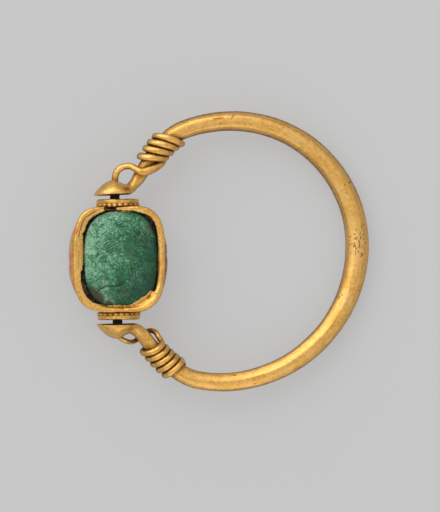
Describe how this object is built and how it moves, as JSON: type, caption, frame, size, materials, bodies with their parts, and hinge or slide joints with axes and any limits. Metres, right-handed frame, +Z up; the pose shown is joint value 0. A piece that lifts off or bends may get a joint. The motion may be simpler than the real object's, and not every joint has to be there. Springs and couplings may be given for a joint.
{
  "type": "scarab swivel ring",
  "caption": "Gold finger ring whose oval bezel, set with a green scarab stone with a blank face, swivels on a pin between the wire-bound feet of the hoop.",
  "frame": {"origin": "middle of the footprint's box, on the table that the ring lies on", "axes": "+Z up from the table, the stone's face looking up; +X from the bezel across the finger opening to the far side of the hoop; +Y along the swivel pin, towards the foot whose wire loops in front"},
  "size_m": [0.0301, 0.0281, 0.0063],
  "materials": {
    "gold": "worn satin gold",
    "gold_wire": "drawn gold wire, worn satin",
    "gold_foil": "thin beaten gold foil",
    "dark_bronze": "dark patina",
    "green_stone": "mottled, worn polish",
    "mastic": "dull dark resin filling"
  },
  "bodies": {
    "hoop": {"hoop": "gold", "swivel_pin": "dark_bronze", "upper_binding_wire": "gold_wire", "lower_binding_wire": "gold_wire"},
    "bezel": {"bezel_frame": "gold", "foil_lip": "gold_foil", "scarab_stone": "green_stone", "mastic_bedding": "mastic", "upper_collar_disc": "gold", "upper_beaded_ring": "gold_wire", "lower_collar_disc": "gold", "lower_beaded_ring": "gold_wire"}
  },
  "joints": [
    {"name": "bezel_swivel", "type": "hinge", "parent": "hoop", "child": "bezel", "pos_m": [-0.01032, -0.00055, 0.00326], "axis": [0, 1, 0], "continuous": true}
  ]
}
